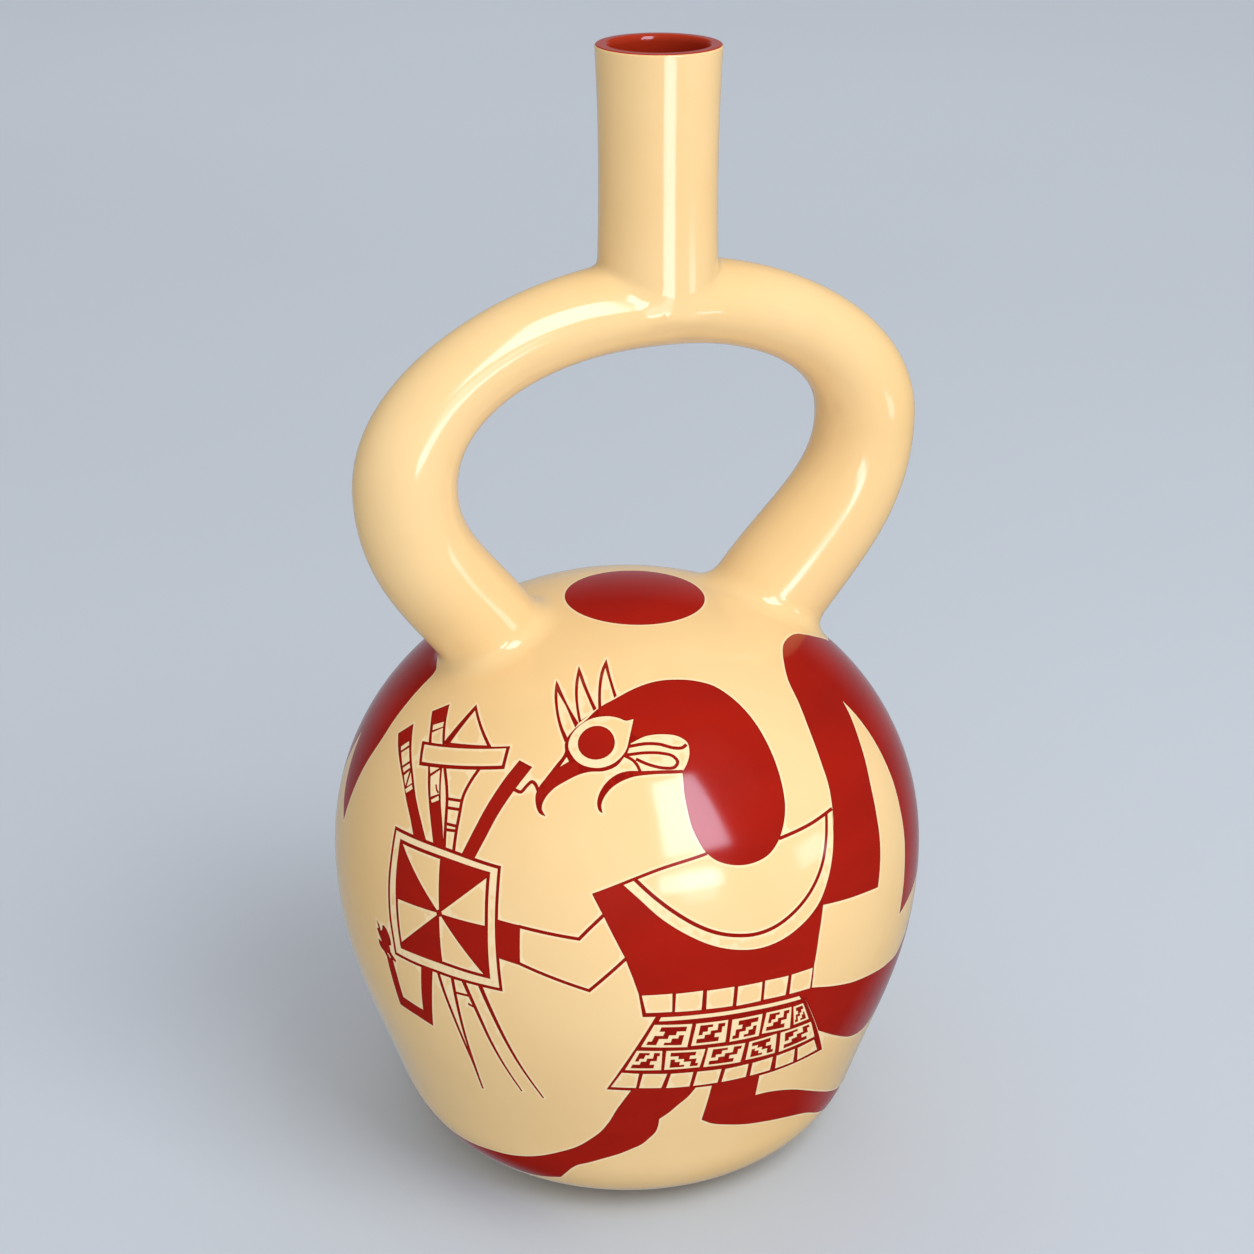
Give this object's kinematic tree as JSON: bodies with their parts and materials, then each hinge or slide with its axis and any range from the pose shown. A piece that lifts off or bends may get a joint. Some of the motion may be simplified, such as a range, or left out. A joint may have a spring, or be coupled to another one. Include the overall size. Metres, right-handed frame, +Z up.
{
  "type": "stirrup-spout bottle",
  "caption": "Round hollow ceramic bottle on a flat base, with a hoop of two hollow arms joining into one upright spout; cream slip painted with a red bird-headed warrior.",
  "frame": {"origin": "centre of the flat base, on the surface that it stands on", "axes": "+Z up through the body, +X along the stirrup towards the painted figure's back, -Y towards the painted front"},
  "size_m": [0.1573, 0.153, 0.2838],
  "materials": {
    "cream_slip": "smooth polished cream slip with fine-line red painting, glossy"
  },
  "bodies": {
    "root": {"bottle": "cream_slip"}
  },
  "joints": []
}
